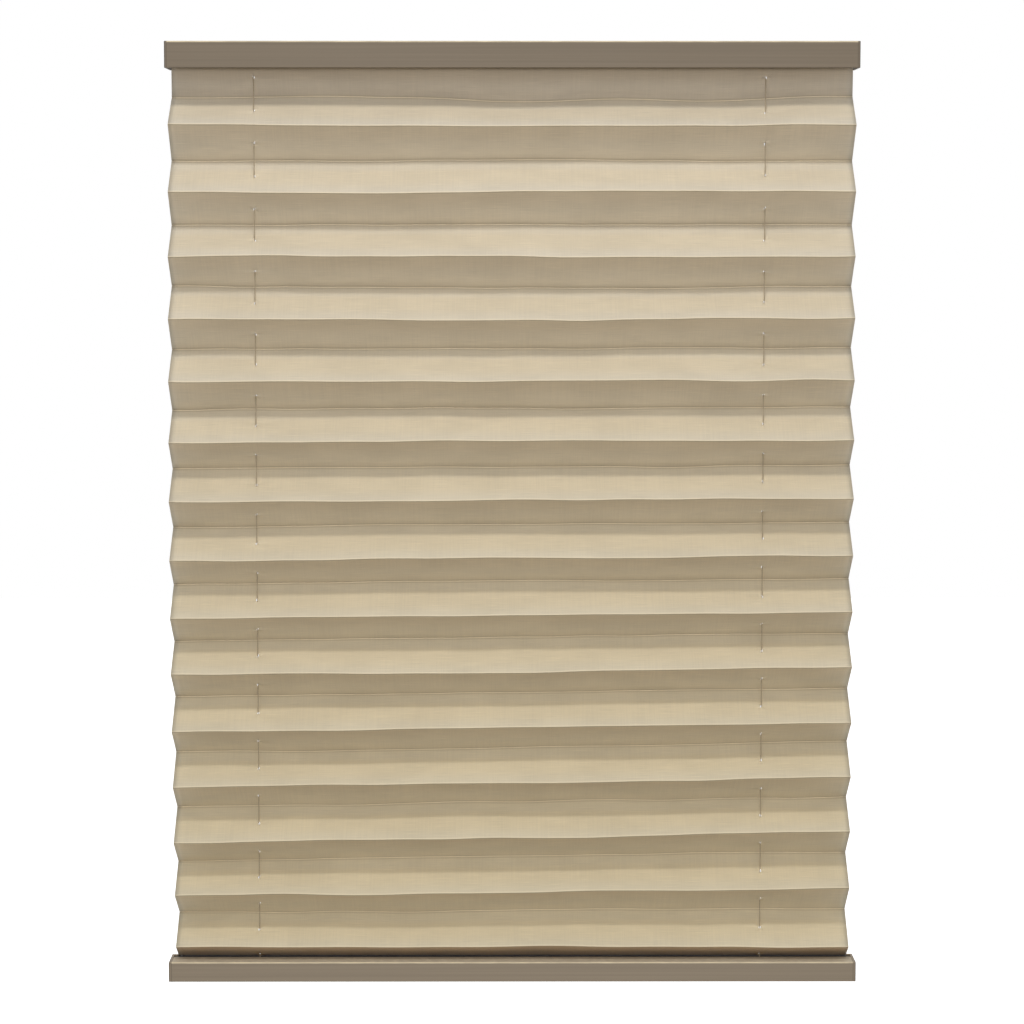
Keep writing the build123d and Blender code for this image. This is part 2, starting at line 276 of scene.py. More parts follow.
def stretched_noise(tree, vector, scales, detail=2.0, roughness=0.5):
    """Noise whose scale differs along each axis, in cells a metre."""
    mapped = put(tree, "ShaderNodeMapping", {"Vector": vector, "Scale": scales}).outputs[0]
    inputs = {"Vector": mapped, "Scale": 1.0, "Detail": detail, "Roughness": roughness}
    return put(tree, "ShaderNodeTexNoise", inputs).outputs[0]


def new_group(name, inputs, outputs):
    """An empty node group with float or vector sockets, and its input and output nodes."""
    group = bpy.data.node_groups.new(name, "ShaderNodeTree")
    for label, kind, default in inputs:
        socket = group.interface.new_socket(label, in_out="INPUT", socket_type=kind)
        if default is not None:
            socket.default_value = default
    for label, kind in outputs:
        group.interface.new_socket(label, in_out="OUTPUT", socket_type=kind)
    return group, group.nodes.new("NodeGroupInput").outputs, group.nodes.new("NodeGroupOutput")


FLOAT, VECTOR = "NodeSocketFloat", "NodeSocketVector"
# Colour for a dusting on upward faces; it is also painted light that makes their tops lighter.
DUST_AND_TOP_LIGHT = (0.68, 0.59, 0.44, 1)
# Colour of the painted highlight along the rails' upper edges.
EDGE_HIGHLIGHT_COLOUR = (0.80, 0.68, 0.46, 1)


def make_weave_group():
    """Plain weave: each thread is a row of humps, and warp and weft take turns on top.

    With a = sin(pi u / pitch) and b = sin(pi v / pitch), the warp shows where a b > 0 with
    the hump |a|, and the weft elsewhere with the hump |b|.  Thicker threads, slubs, come
    from noise drawn out along the weft, and faint bars from noise drawn out along the warp.
    """
    group, given, result = new_group(
        "plain_weave",
        [("Vector", VECTOR, None), ("Pitch", FLOAT, 0.0005)],
        [("Height", FLOAT), ("Slub", FLOAT), ("Thin", FLOAT), ("Bars", FLOAT), ("Cloud", FLOAT)],
    )
    parts = parts_of(group, given["Vector"])
    waves = []
    for part in parts[:2]:
        turns = calc(group, "DIVIDE", calc(group, "MULTIPLY", part, math.pi), given["Pitch"])
        waves.append(calc(group, "SINE", turns))
    warp_on_top = step_between(group, calc(group, "MULTIPLY", *waves), -0.15, 0.15)
    humps = [calc(group, "ABSOLUTE", wave) for wave in waves]
    difference = calc(group, "SUBTRACT", humps[0], humps[1])
    woven = calc(group, "MULTIPLY_ADD", difference, warp_on_top, humps[1])
    slub = stretched_noise(group, given["Vector"], (34.0, 1500.0, 1.0), 3.0, 0.6)
    thin = step_down(group, slub, 0.28, 0.46)
    slub = step_between(group, slub, 0.54, 0.74)
    bars = stretched_noise(group, given["Vector"], (900.0, 14.0, 1.0), 3.0, 0.6)
    cloud = stretched_noise(group, given["Vector"], (16.0, 26.0, 1.0), 3.0, 0.55)
    height = calc(group, "MULTIPLY_ADD", slub, 0.6, woven)
    height = calc(group, "MULTIPLY_ADD", bars, 0.15, height)
    feed(group, result, {"Height": height, "Slub": slub, "Thin": thin, "Bars": bars, "Cloud": cloud})
    return group


def make_grain_group():
    """Fine even grain with a broader unevenness: two noises added, and a mask from the broad one."""
    group, given, result = new_group(
        "fine_grain",
        [("Vector", VECTOR, None), ("Fine", FLOAT, 2500.0), ("Broad", FLOAT, 60.0)],
        [("Height", FLOAT), ("Uneven", FLOAT)],
    )
    noises = []
    for label in ("Fine", "Broad"):
        inputs = {"Vector": given["Vector"], "Scale": given[label], "Detail": 2.0}
        noises.append(put(group, "ShaderNodeTexNoise", inputs).outputs[0])
    height = calc(group, "MULTIPLY_ADD", noises[1], 0.5, noises[0])
    feed(group, result, {"Height": height, "Uneven": noises[1]})
    return group


def make_edge_highlight_group():
    """Painted highlight along a rail's upper edges, broken up by noise: strongest where y nears Front or Back
    and z nears Top.
    """
    group, given, result = new_group(
        "rubbed_edges",
        [
            ("Vector", VECTOR, None),
            ("Front", FLOAT, -0.027),
            ("Back", FLOAT, 0.027),
            ("Top", FLOAT, 0.0),
            ("Width", FLOAT, 0.0019),
        ],
        [("Mask", FLOAT)],
    )
    parts = parts_of(group, given["Vector"])
    from_front = calc(group, "ABSOLUTE", calc(group, "SUBTRACT", parts[1], given["Front"]))
    from_back = calc(group, "ABSOLUTE", calc(group, "SUBTRACT", given["Back"], parts[1]))
    from_side = calc(group, "MINIMUM", from_front, from_back)
    from_top = calc(group, "ABSOLUTE", calc(group, "SUBTRACT", given["Top"], parts[2]))
    across = calc(group, "MAXIMUM", from_side, from_top)
    near = calc(group, "SUBTRACT", 1.0, calc(group, "DIVIDE", across, given["Width"]))
    highlight_breaks = stretched_noise(group, given["Vector"], (45.0, 700.0, 700.0), 4.0, 0.65)
    highlight_breaks = calc(group, "MULTIPLY_ADD", step_between(group, highlight_breaks, 0.36, 0.66), 0.45, 0.55)
    broken = calc(group, "MULTIPLY", step_between(group, near, 0.0, 0.7), highlight_breaks)
    feed(group, result, {"Mask": broken})
    return group


def make_dust_and_top_light_group():
    """A light dusting on faces that look up, with painted light on them too: the normal's height, broken up
    by noise.
    """
    group, given, result = new_group("settled_dust", [("Vector", VECTOR, None)], [("Mask", FLOAT)])
    facing = put(group, "ShaderNodeNewGeometry").outputs["Normal"]
    upward = parts_of(group, facing)[2]
    specks = stretched_noise(group, given["Vector"], (120.0, 160.0, 160.0), 5.0, 0.7)
    dust_and_top_light_mask = calc(group, "MULTIPLY_ADD", step_between(group, specks, 0.4, 0.75), 0.4, 0.6)
    dust_and_top_light_mask = calc(group, "MULTIPLY", dust_and_top_light_mask, step_between(group, upward, 0.35, 0.95))
    feed(group, result, {"Mask": dust_and_top_light_mask})
    return group


def make_braid_group():
    """Round braid: two sets of strands that wind opposite ways and cross.

    u runs once round the cord and v along it in metres, so each set is
    sin(2 pi (strands u +- v / lay)).
    """
    group, given, result = new_group(
        "round_braid",
        [("Vector", VECTOR, None), ("Strands", FLOAT, 4.0), ("Lay", FLOAT, 0.0022)],
        [("Height", FLOAT)],
    )
    parts = parts_of(group, given["Vector"])
    round_cord = calc(group, "MULTIPLY", parts[0], given["Strands"])
    along = calc(group, "DIVIDE", parts[1], given["Lay"])
    humps = []
    for operation in ("ADD", "SUBTRACT"):
        turns = calc(group, operation, round_cord, along)
        humps.append(calc(group, "SINE", calc(group, "MULTIPLY", turns, math.tau)))
    feed(group, result, {"Height": calc(group, "MAXIMUM", *humps)})
    return group


GROUP_MAKERS = {
    "plain_weave": make_weave_group,
    "fine_grain": make_grain_group,
    "rubbed_edges": make_edge_highlight_group,
    "settled_dust": make_dust_and_top_light_group,
    "round_braid": make_braid_group,
}


def use_group(tree, name, **values):
    """A group node in a material, with the group built the first time it is asked for."""
    group = bpy.data.node_groups.get(name) or GROUP_MAKERS[name]()
    return put(tree, "ShaderNodeGroup", values, node_tree=group).outputs


def start_material(name, **sockets):
    """A material with a Principled BSDF whose constants are set on its own sockets."""
    material = bpy.data.materials.new(name)
    material.use_nodes = True
    tree = material.node_tree
    shader = tree.nodes["Principled BSDF"]
    for key, value in sockets.items():
        shader.inputs[key.replace("_", " ")].default_value = value
    return material, tree, shader


def add_bump(tree, shader, height, strength, distance):
    """The height felt by the shader as a bump."""
    values = {"Strength": strength, "Distance": distance, "Height": height}
    bump = put(tree, "ShaderNodeBump", values)
    tree.links.new(bump.outputs[0], shader.inputs["Normal"])


def shade(colour, factor):
    """A colour made lighter or darker, with its alpha."""
    return (*[min(1.0, part * factor) for part in colour], 1.0)


def object_vector(tree):
    """Object coordinates, in metres."""
    return put(tree, "ShaderNodeTexCoord").outputs["Object"]


def uv_vector(tree):
    """The piece's own map, in metres of flat cloth or of cord."""
    return put(tree, "ShaderNodeUVMap", uv_map="flat_cloth").outputs[0]


def cloth_weave_tone(tree, woven, colour):
    """The cloth's own colour, with its clouding, faint bars, and lighter and darker threads."""
    cloud = step_between(tree, woven["Cloud"], 0.3, 0.7)
    tone = blend_colours(tree, cloud, shade(colour, 0.96), shade(colour, 1.03))
    bars = step_between(tree, woven["Bars"], 0.25, 0.75)
    tone = tinted(tree, tone, blend_colours(tree, bars, (0.965, 0.965, 0.97, 1), (1.025, 1.025, 1.02, 1)))
    for threads, strength, factor in (("Slub", 0.65, 1.22), ("Thin", 0.38, 0.72)):
        share = calc(tree, "MULTIPLY", woven[threads], strength)
        tone = blend_colours(tree, share, tone, shade(colour, factor))
    return tone


def cloth_length_tone(tree, tone, down, across, lines, colour):
    """Painted light and shade down the cloth: a cooler tint near the top, painted shade on the first panel
    under the headrail, darker and browner painted shade on the last panel above the slot, and painted shade
    along the side edges.
    """
    places = np.array([1, 2, lines.panels - 2, lines.panels - 1, lines.panels])
    mouth, first_fold, last_fold, slot, foot = lines.flat(0.0, places)[:, 1].tolist()
    # Painted light: the tint from top to bottom stands in for the light's colour changing down the cloth.
    painted_hue_down = step_between(tree, down, 0.0, foot)
    tone = tinted(tree, tone, blend_colours(tree, painted_hue_down, (0.98, 0.985, 1.03, 1), (1.0, 0.985, 0.93, 1)))
    # Painted shade on the first panel, where the headrail keeps light off it.
    under = step_between(tree, down, mouth - 0.01, first_fold)
    painted_headrail_shade = blend_colours(tree, under, (0.60, 0.595, 0.62, 1), (0.92, 0.925, 0.97, 1))
    covered = step_down(tree, down, first_fold - 0.0008, first_fold + 0.0004)
    tone = tinted(tree, tone, painted_headrail_shade, covered)
    # Painted shade on the last panel, darker and browner towards the slot.
    last_panel = step_between(tree, down, last_fold - 0.0005, last_fold + 0.0005)
    nearing = step_between(tree, down, last_fold, slot)
    painted_crevice_shade = blend_colours(tree, nearing, (0.72, 0.62, 0.53, 1), (0.42, 0.30, 0.17, 1))
    tone = tinted(tree, tone, painted_crevice_shade, last_panel)
    # Painted shade along the cloth's side edges.
    side_gap = calc(tree, "SUBTRACT", lines.half_width, across)
    edge = calc(tree, "MULTIPLY", step_down(tree, side_gap, 0.0, 0.005), 0.35)
    return blend_colours(tree, edge, tone, shade(colour, 0.5)), slot


def cloth_crease_tone(tree, tone, panel, colour):
    """Painted light from fold to fold, tinted by which way the cloth faces, and thin painted highlights and
    painted shade lines along each crease.
    """
    share = put(tree, "ShaderNodeAttribute", attribute_name="front_share").outputs["Fac"]
    rear_gap = calc(tree, "MULTIPLY", share, panel)
    front_gap = calc(tree, "MULTIPLY", calc(tree, "SUBTRACT", 1.0, share), panel)
    rise = parts_of(tree, put(tree, "ShaderNodeNewGeometry").outputs["Normal"])[2]
    looks_down = step_between(tree, calc(tree, "MULTIPLY", rise, -1.0), -0.1, 0.2)
    past_rear = step_between(tree, share, 0.2, 0.4)
    middle = calc(tree, "MULTIPLY", past_rear, step_down(tree, share, 0.6, 0.95))
    # Painted light: tints that follow which way each panel faces.
    upper_painted_light_tint = blend_colours(tree, middle, (0.985, 1.003, 1.035, 1), (1.0, 0.99, 0.96, 1))
    near_ridge = step_between(tree, share, 0.35, 1.0)
    under_painted_light_tint = blend_colours(tree, near_ridge, (1.03, 1.03, 1.03, 1), (1.13, 1.07, 0.99, 1))
    tone = tinted(tree, tone, blend_colours(tree, looks_down, upper_painted_light_tint, under_painted_light_tint))

    # Painted highlight on each rear fold, with painted shade beside it; painted highlight over each ridge and
    # painted shade under it.
    rear_crease_highlight = step_down(tree, rear_gap, 0.0005, 0.0012)
    off_rear = step_between(tree, rear_gap, 0.0008, 0.0015)
    beside = calc(tree, "MULTIPLY", step_down(tree, rear_gap, 0.0018, 0.0038), off_rear)
    front_line = step_down(tree, front_gap, 0.0006, 0.0022)
    under_ridge_shade = calc(tree, "MULTIPLY", front_line, looks_down)
    ridge_highlight = calc(tree, "SUBTRACT", front_line, under_ridge_shade)
    crease_shade_colour = shade((colour[0], colour[1] * 0.9, colour[2] * 0.75), 0.6)
    painted_crease_lines = (
        (beside, 0.45, crease_shade_colour),
        (rear_crease_highlight, 0.6, shade(colour, 1.35)),
        (under_ridge_shade, 0.6, crease_shade_colour),
        (ridge_highlight, 0.5, shade(colour, 1.3)),
    )
    for mask, strength, line_colour in painted_crease_lines:
        tone = blend_colours(tree, calc(tree, "MULTIPLY", mask, strength), tone, line_colour)
    return tone


def make_cloth_material(settings, lines):
    """The weave, painted light and shade down the cloth and along each crease, and painted shade on its end
    inside the bottom rail.
    """
    material, tree, shader = start_material(
        "woven_cloth", Roughness=0.86, Sheen_Weight=0.18, Sheen_Roughness=0.5, Specular_IOR_Level=0.25
    )
    place = uv_vector(tree)
    woven = use_group(tree, "plain_weave", Vector=place, Pitch=settings.thread)
    colour = tuple(settings.colour)
    sideways, down = parts_of(tree, place)[:2]
    across = calc(tree, "ABSOLUTE", sideways)
    tone = cloth_weave_tone(tree, woven, colour)
    tone, slot = cloth_length_tone(tree, tone, down, across, lines, colour)
    tone = cloth_crease_tone(tree, tone, settings.panel, colour)
    # Painted shade: the cloth turns near black where it goes into the bottom rail's slot.
    inside = step_between(tree, down, slot - 0.0052, slot - 0.0022)
    tone = blend_colours(tree, inside, tone, (0.02, 0.014, 0.009, 1))
    tree.links.new(tone, shader.inputs["Base Color"])
    add_bump(tree, shader, woven["Height"], 0.35, 0.00008)
    return material


def make_cord_material(settings):
    """Braided cord, with painted shade between its strands and painted light on the raised ones."""
    material, tree, shader = start_material("braided_cord", Roughness=0.7, Specular_IOR_Level=0.35)
    height = use_group(tree, "round_braid", Vector=uv_vector(tree))["Height"]
    colour = tuple(settings.colour)
    painted_braid_light_share = step_between(tree, height, 0.0, 1.0)
    tone = blend_colours(tree, painted_braid_light_share, shade(colour, 0.62), shade(colour, 1.25))
    tree.links.new(tone, shader.inputs["Base Color"])
    add_bump(tree, shader, height, 0.6, 0.00006)
    return material


def end_line(tree, place, half_length, width):
    """1 at a rail's ends, fading to 0 at the width from them."""
    x = parts_of(tree, place)[0]
    gap = calc(tree, "SUBTRACT", half_length, calc(tree, "ABSOLUTE", x))
    return step_down(tree, gap, width * 0.5, width)


def make_paint_material(name, colour, box, dust_and_top_light_share):
    """Satin powder coat on an extrusion, with faint lines along it, a dusting and painted light on its upward
    faces, a painted highlight along its upper edges and a dark seam at each cap.
    """
    low, high = box
    material, tree, shader = start_material(name, Specular_IOR_Level=0.3)
    place = object_vector(tree)
    grain = use_group(tree, "fine_grain", Vector=place, Fine=2600.0, Broad=9.0)
    drawn = stretched_noise(tree, place, (2.5, 420.0, 420.0), 3.0, 0.55)
    drawn_out = step_between(tree, drawn, 0.3, 0.7)
    tone = blend_colours(tree, drawn_out, shade(colour, 0.94), shade(colour, 1.06))
    uneven = calc(tree, "MULTIPLY", grain["Uneven"], 0.12)
    tone = blend_colours(tree, uneven, tone, shade(colour, 1.14))
    # A dusting on the upward faces, which also paints light onto them; the bottom rail's large share makes
    # its top face lighter as painted light.
    dust_and_top_light_mask = use_group(tree, "settled_dust", Vector=place)["Mask"]
    tone = blend_colours(tree, calc(tree, "MULTIPLY", dust_and_top_light_mask, dust_and_top_light_share), tone, DUST_AND_TOP_LIGHT)
    edges = {"Front": low.y, "Back": high.y, "Top": high.z}
    # Painted highlight along the upper edges.
    edge_highlight_mask = use_group(tree, "rubbed_edges", Vector=place, **edges)["Mask"]
    tone = blend_colours(tree, calc(tree, "MULTIPLY", edge_highlight_mask, 0.9), tone, EDGE_HIGHLIGHT_COLOUR)
    seam = end_line(tree, place, high.x, 0.0009)
    tone = blend_colours(tree, calc(tree, "MULTIPLY", seam, 0.55), tone, shade(colour, 0.4))
    roughness = calc(tree, "MULTIPLY_ADD", grain["Uneven"], 0.12, 0.52)
    roughness = calc(tree, "MULTIPLY_ADD", dust_and_top_light_mask, 0.15, roughness)
    feed(tree, shader, {"Base Color": tone, "Roughness": roughness})
    add_bump(tree, shader, calc(tree, "MULTIPLY_ADD", drawn, 0.5, grain["Height"]), 0.16, 0.00012)
    return material


def make_moulded_material(name, colour, roughness, fine, half_length=None, **sockets):
    """Moulded plastic: a spark-eroded grain, slightly uneven gloss and a light dusting with painted light on
    top.

    With half_length it is an end cap, darker on its outermost rim.
    """
    material, tree, shader = start_material(name, **sockets)
    place = object_vector(tree)
    grain = use_group(tree, "fine_grain", Vector=place, Fine=fine, Broad=38.0)
    uneven = step_between(tree, grain["Uneven"], 0.3, 0.7)
    tone = blend_colours(tree, uneven, shade(colour, 0.95), shade(colour, 1.05))
    # A dusting on the upward faces, which also paints light onto them.
    dust_and_top_light_mask = use_group(tree, "settled_dust", Vector=place)["Mask"]
    tone = blend_colours(tree, calc(tree, "MULTIPLY", dust_and_top_light_mask, 0.14), tone, DUST_AND_TOP_LIGHT)
    if half_length:
        rim = end_line(tree, place, half_length, 0.0011)
        tone = blend_colours(tree, calc(tree, "MULTIPLY", rim, 0.65), tone, shade(colour, 0.3))
    gloss = calc(tree, "MULTIPLY_ADD", uneven, 0.08, roughness)
    feed(tree, shader, {"Base Color": tone, "Roughness": gloss})
    add_bump(tree, shader, grain["Height"], 0.2, 0.0001)
    return material


def make_steel_material(name, colour, scales):
    """Drawn or rolled steel: fine lines along the way it was worked."""
    material, tree, shader = start_material(name, Metallic=1.0)
    lines = stretched_noise(tree, object_vector(tree), scales, 3.0, 0.6)
    worked = step_between(tree, lines, 0.3, 0.7)
    tone = blend_colours(tree, worked, shade(colour, 0.82), shade(colour, 1.08))
    roughness = calc(tree, "MULTIPLY_ADD", lines, 0.25, 0.18)
    feed(tree, shader, {"Base Color": tone, "Roughness": roughness})
    add_bump(tree, shader, lines, 0.12, 0.00003)
    return material


def finish_nodes(material, *names):
    """Gives CAD nodes a material through their objects' slots."""
    for name in names:
        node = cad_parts.get(name)
        if node is None:
            raise RuntimeError(f"there is no node named {name}")
        for material_slot in node.material_slots:
            material_slot.material = material


# ---- the cloth


WAVES = np.arange(2, 19)
PLEATS = 15
FIRST_FOLD_BELOW_HEADRAIL = 0.029
LAST_FOLD_ABOVE_RAIL = 0.0147
FIRST_UP_DROP, UP_DROP, UP_DROP_LESS = 0.0282, 0.0322, 0.000176
DOWN_DROP, DOWN_DROP_MORE, DOWN_DROP_MIDDLE = 0.0273, 0.0076, 10.5
HEAD_EDGE_Y, MOUTH_FOLD_Y = -0.0188, -0.0095
SLOT_FOLD_Y, FOOT_EDGE_Y = 0.0075, 0.0026
TOP_TRIM = 0.003
HOLE_STRAY = 0.0004
PANEL_BOW, PUCKER_HEIGHT, PUCKER_START, PUCKER_WIDTH = 0.00035, 0.0010, 0.003, 0.0035
BULGE_MARGIN = 0.01
BLOCK_X, BLOCK_DOWN, COLUMN_SPACING = 0.005, 0.006, 0.008
HOLE_RINGS = (0, 0.12, 0.34, 0.64)
GRID_BLOCK = 4
BORDER_ROWS = np.array([0, 0, 0, 0, 0, 1, 2, 3, 4, 4, 4, 4, 4, 3, 2, 1])
BORDER_COLUMNS = np.array([0, 1, 2, 3, 4, 4, 4, 4, 4, 3, 2, 1, 0, 0, 0, 0])


class FoldLines:
    """The lines across the cloth that it is folded on, from its top edge to its bottom edge.

    Line 0 is the top edge under the top strip and line 1 the fold at the headrail's mouth.
    Then come the rear and front folds in turn, the fold in the bottom rail and the bottom
    edge.  The panels that look up drop by nearly the same height; the panels that look down
    are most open at the top, where the cloth below weighs most.
    """

    def __init__(self, settings):
        pleat = np.arange(PLEATS)
        up = np.where(pleat == 0, FIRST_UP_DROP, UP_DROP - UP_DROP_LESS * pleat)
        down = DOWN_DROP + DOWN_DROP_MORE * ((pleat[:-1] - DOWN_DROP_MIDDLE) / DOWN_DROP_MIDDLE) ** 2
        drops = np.empty(2 * PLEATS - 1)
        drops[0::2], drops[1::2] = up, down
        first = HEADRAIL_LOW.z - FIRST_FOLD_BELOW_HEADRAIL
        last = BOTTOM_RAIL_HIGH.z + LAST_FOLD_ABOVE_RAIL
        drops *= (first - last) / drops.sum()
        heights = first - np.concatenate([[0.0], np.cumsum(drops)])
        near = (np.concatenate([drops[:1], drops]) + np.concatenate([drops, drops[-1:]])) / 2
        reach = np.sqrt(settings.panel**2 - near**2) / 2
        side = np.where(np.arange(2 * PLEATS) % 2 == 0, 1.0, -1.0)
        way_down = np.linspace(0, 1, 2 * PLEATS)
        half_cloth = settings.thickness / 2
        top, bottom = TOP_STRIP_LOW.z - half_cloth, BOTTOM_STRIP_HIGH.z + half_cloth
        self.y = np.concatenate([[HEAD_EDGE_Y, MOUTH_FOLD_Y], side * reach, [SLOT_FOLD_Y, FOOT_EDGE_Y]])
        self.z = np.concatenate([[top, top], heights, [bottom, bottom]])
        lean = settings.lean * way_down**2 * (1 - way_down**8)
        self.lean = np.concatenate([[0, 0], lean, [0, 0]])
        wave = np.where(side > 0, settings.rear_wave, settings.front_wave)
        wave[0] *= 1.8
        self.wave = np.concatenate([[0, 0], wave, [0, 0]])
        draws = np.random.default_rng(15)
        shape = (len(self.y), len(WAVES))
        self.phase = draws.uniform(0, math.tau, (3, *shape))
        self.size = draws.normal(0, 1, (3, *shape)) / WAVES**0.9
        self.hole_shift = draws.uniform(-HOLE_STRAY, HOLE_STRAY, (len(self.y), len(CORD_X)))
        self.crease = settings.crease
        self.panels = len(self.y) - 1
        self.half_width = CLOTH_HIGH.x
        bulge = np.outer((settings.left_bulge, settings.right_bulge), np.sin(math.pi * way_down))
        trim = np.full((2, 2), -TOP_TRIM)
        self.spread = np.concatenate([trim, bulge, np.zeros((2, 2))], axis=1)

    def ripple(self, kind, line, x):
        """Waves across the width: the sum of size sin(pi n x / width + phase), drawn for each line."""
        turns = WAVES * (math.pi * x / (2 * self.half_width))[..., None]
        return (self.size[kind][line] * np.sin(turns + self.phase[kind][line])).sum(-1)

    def place(self, line, x):
        """Depth and height of fold lines at x."""
        depth = self.y[line] + self.wave[line] * self.ripple(0, line, x)
        height = self.z[line] + self.lean[line] / 2 * x / self.half_width
        height = height + self.wave[line] * self.ripple(1, line, x)
        return np.stack([depth, height], -1)

    def middle_lengths(self):
        """Each panel's length at the middle of the cloth."""
        ends = self.place(np.arange(self.panels + 1), np.zeros(self.panels + 1))
        return np.linalg.norm(np.diff(ends, axis=0), axis=-1)

    def hole_shares(self, panel, x):
        """How far along a panel it crosses the cords' plane, as a share of the panel."""
        start, end = self.place(panel, x)[..., 0], self.place(panel + 1, x)[..., 0]
        return start / (start - end)

    def surface(self, x, down):
        """Points of the cloth.

        down counts panels, so its whole part picks a panel and the rest is the share f of it.
        The point is start + f (end - start).  Within the crease length w of a fold it moves
        by (b - a) (w - t)^2 / 4 w, where a and b are the directions into and out of the fold
        and t is the distance from it: the mean of the sharp path over 2 w.  A bow of
        4 f (1 - f) and small puckers round the cord holes act along the panel's normal.
        """
        x, down = np.broadcast_arrays(x, down)
        panel = np.clip(np.floor(down).astype(int), 0, self.panels - 1)
        share = down - panel
        start, end = self.place(panel, x), self.place(panel + 1, x)
        span = end - start
        length = np.linalg.norm(span, axis=-1)
        along = unit(span)
        nearest = panel + (share >= 0.5)
        here = self.place(nearest, x)
        before = self.place(np.maximum(nearest - 1, 0), x)
        after = self.place(np.minimum(nearest + 1, self.panels), x)
        turn = unit(after - here) - unit(here - before)
        turn[(nearest == 0) | (nearest == self.panels)] = 0
        gap = np.minimum(share, 1 - share) * length
        pull = np.maximum(self.crease - gap, 0) ** 2 / (4 * self.crease)
        point = start + share[..., None] * span + pull[..., None] * turn
        normal = np.stack([along[..., 1], -along[..., 0]], -1)
        inner = (panel > 0) & (panel < self.panels - 1)
        bow = PANEL_BOW * self.ripple(2, panel, x) * 4 * share * (1 - share) * inner
        for cord_x in CORD_X:
            middle = self.hole_shares(panel, np.full(x.shape, cord_x))
            across, lengthways = x - cord_x, (share - middle) * length
            away = np.hypot(across, lengthways)
            angle = np.arctan2(lengthways, across)
            folds = np.cos(3 * angle + self.phase[2][panel, 0])
            bow = bow + inner * PUCKER_HEIGHT * folds * np.exp(-((away - PUCKER_START) / PUCKER_WIDTH) ** 2)
        point = point + bow[..., None] * normal
        side = (x > 0).astype(int)
        spread = self.spread[side, panel] * (1 - share) + self.spread[side, panel + 1] * share
        beyond = np.maximum(np.abs(x) - CORD_X[1] - BULGE_MARGIN, 0)
        outside = beyond / (self.half_width - CORD_X[1] - BULGE_MARGIN)
        return np.stack([x + np.sign(x) * spread * outside**2, point[..., 0], point[..., 1]], -1)

    def flat(self, x, down):
        """The same points on the flat cloth: x, and the length along it."""
        x, down = np.broadcast_arrays(x, down)
        lengths = self.middle_lengths()
        from_top = np.concatenate([[0.0], np.cumsum(lengths)])
        panel = np.clip(np.floor(down).astype(int), 0, self.panels - 1)
        return np.stack([x, from_top[panel] + (down - panel) * lengths[panel]], -1)

    def front_share(self, down):
        """0 at a rear fold, 1 at a front fold and even between them."""
        corner = np.where(self.y < 0, 1.0, 0.0)
        corner[[0, -1]] = corner[[1, -2]]
        panel = np.clip(np.floor(down).astype(int), 0, self.panels - 1)
        return corner[panel] + (down - panel) * (corner[panel + 1] - corner[panel])


def cloth_columns(block, spacing):
    """Places across the width: even, with five closer ones round each cord; and each block's first."""
    half = CLOTH_HIGH.x
    edges = [-half, CORD_X[0] - block, CORD_X[0] + block, CORD_X[1] - block, CORD_X[1] + block, half]
    runs, firsts, count = [], [], 0
    for step, (low, high) in enumerate(zip(edges, edges[1:])):
        cells = GRID_BLOCK if step % 2 else math.ceil((high - low) / spacing)
        if step % 2:
            firsts.append(count)
        runs.append(np.linspace(low, high, cells + 1)[:-1])
        count += cells
    return np.concatenate([*runs, [half]]), np.array(firsts)


def cloth_rows(lines, block):
    """Places down the cloth, counted in panels, and the first row of each hole's block.

    Each panel between its folds has rows close to both folds for the bend, and five rows
    round its hole.
    """
    lengths = lines.middle_lengths()
    panel = np.arange(1, lines.panels - 1)
    length, bend = lengths[panel], lines.crease
    hole = lines.hole_shares(panel, np.zeros(len(panel))) * length
    nothing = np.zeros(len(panel))
    rows = [nothing, nothing + bend / 2, nothing + bend, (hole - block) / 2]
    rows += [hole + block * part for part in (-1, -0.5, 0, 0.5, 1)]
    rows += [(hole + block + length) / 2, length - bend, length - bend / 2]
    inner = panel[:, None] + np.stack(rows, -1) / length[:, None]
    top = np.array([0, 0.5, 1 - bend / lengths[0], 1 - bend / 2 / lengths[0]])
    foot = lines.panels - 1 + np.array([0, bend / 2 / lengths[-1], bend / lengths[-1], 0.6, 1])
    firsts = len(top) + len(rows) * np.arange(len(panel)) + 4
    return np.concatenate([top, inner.ravel(), foot]), panel, firsts


